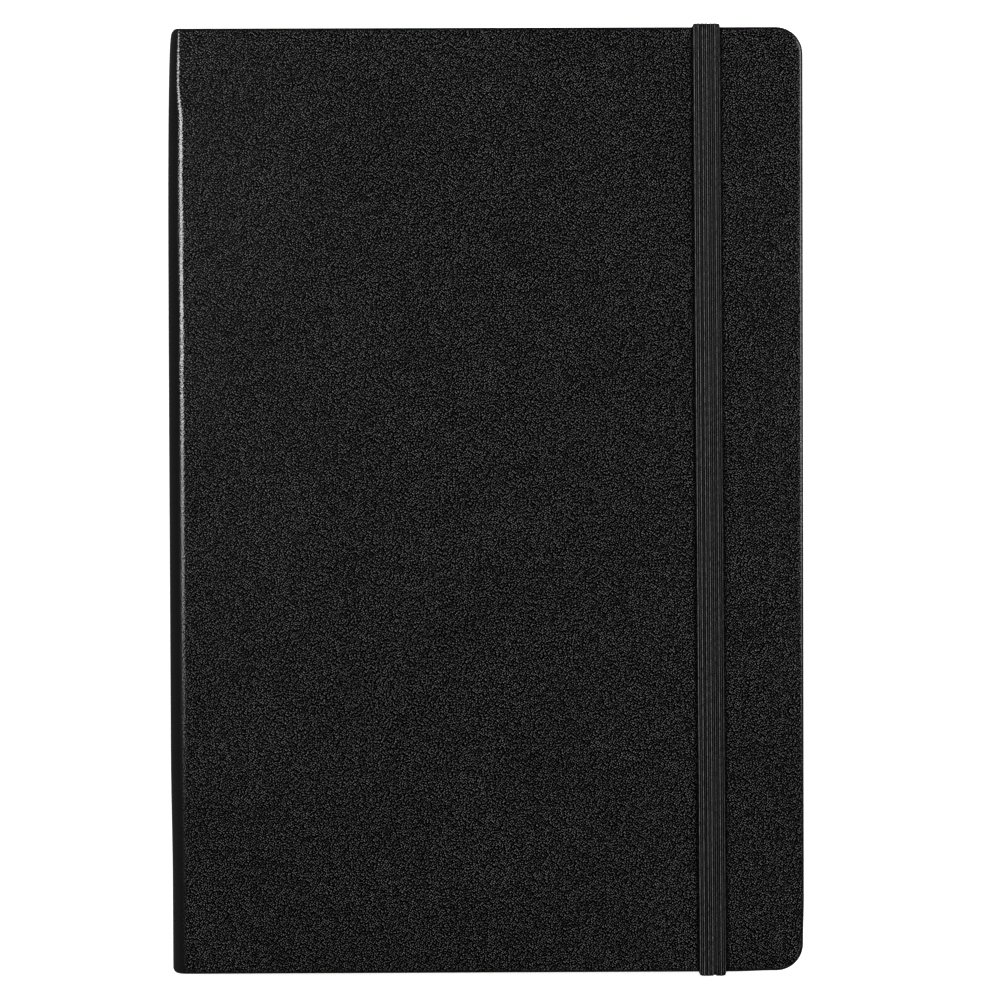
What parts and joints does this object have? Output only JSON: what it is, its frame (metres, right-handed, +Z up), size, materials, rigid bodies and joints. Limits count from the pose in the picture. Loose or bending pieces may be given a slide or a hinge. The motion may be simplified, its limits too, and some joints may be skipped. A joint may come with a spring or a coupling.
{
  "type": "sketchbook",
  "caption": "Hard-cover sketchbook with a sewn block and an elastic closure band; it opens in the middle to lie flat.",
  "frame": {"origin": "on the desk, under the middle of the closed book lying on its back cover", "axes": "+X from the spine to the fore-edge, +Y from the tail to the head, +Z up, out of the front cover"},
  "size_m": [0.141, 0.212, 0.0195],
  "materials": {
    "leatherette": "satin",
    "greyboard": "matte",
    "sketch_paper": "matte",
    "endpaper": "matte",
    "lining_paper": "matte",
    "mull_cloth": "matte",
    "sewing_thread": "matte",
    "band_cloth": "matte",
    "elastic": "matte"
  },
  "bodies": {
    "back_cover": {"back_board": "greyboard", "back_cover_leatherette": "leatherette", "rear_hinge_leatherette": "leatherette", "back_endpaper": "endpaper", "signature_6": "sketch_paper", "sewing_thread_6": "sewing_thread", "elastic_loop": "elastic", "elastic_end_head": "elastic", "elastic_end_tail": "elastic"},
    "spine": {"spine_board": "greyboard", "spine_leatherette": "leatherette", "spine_lining_paper": "lining_paper", "mull": "mull_cloth", "headband": "band_cloth", "tailband": "band_cloth"},
    "front_cover": {"front_board": "greyboard", "front_cover_leatherette": "leatherette", "front_hinge_leatherette": "leatherette", "front_endpaper": "endpaper", "signature_1": "sketch_paper", "sewing_thread_1": "sewing_thread"},
    "signature_2": {"signature_2": "sketch_paper", "sewing_thread_2": "sewing_thread"},
    "signature_3": {"signature_3": "sketch_paper", "sewing_thread_3": "sewing_thread"},
    "signature_4": {"signature_4": "sketch_paper", "sewing_thread_4": "sewing_thread"},
    "signature_5": {"signature_5": "sketch_paper", "sewing_thread_5": "sewing_thread"}
  },
  "joints": [
    {"name": "book_open", "type": "hinge", "parent": "back_cover", "child": "spine", "pos_m": [-0.069, 0, 0.0025], "axis": [0, -1, 0], "range_deg": [0, 90], "deforming": ["rear_hinge_leatherette", "elastic_loop"]},
    {"name": "front_fold", "type": "hinge", "parent": "spine", "child": "front_cover", "pos_m": [-0.069, 0, 0.017], "axis": [0, -1, 0], "range_deg": [0, 90], "deforming": ["front_hinge_leatherette"]},
    {"name": "signature_5_slide", "type": "slide", "parent": "back_cover", "child": "signature_5", "axis": [-1, 0, 0], "range_m": [0, 0.0036]},
    {"name": "signature_4_slide", "type": "slide", "parent": "back_cover", "child": "signature_4", "axis": [-1, 0, 0], "range_m": [0, 0.00845]},
    {"name": "signature_3_slide", "type": "slide", "parent": "front_cover", "child": "signature_3", "axis": [-1, 0, 0], "range_m": [0, 0.00845]},
    {"name": "signature_2_slide", "type": "slide", "parent": "front_cover", "child": "signature_2", "axis": [-1, 0, 0], "range_m": [0, 0.0036]}
  ],
  "couplings": [
    {"joint": "front_fold", "follows": "book_open", "ratio": 1},
    {"joint": "signature_5_slide", "follows": "book_open", "m_per_rad": 0.0022918},
    {"joint": "signature_4_slide", "follows": "book_open", "m_per_rad": 0.0053794},
    {"joint": "signature_3_slide", "follows": "book_open", "m_per_rad": 0.0053794},
    {"joint": "signature_2_slide", "follows": "book_open", "m_per_rad": 0.0022918}
  ]
}
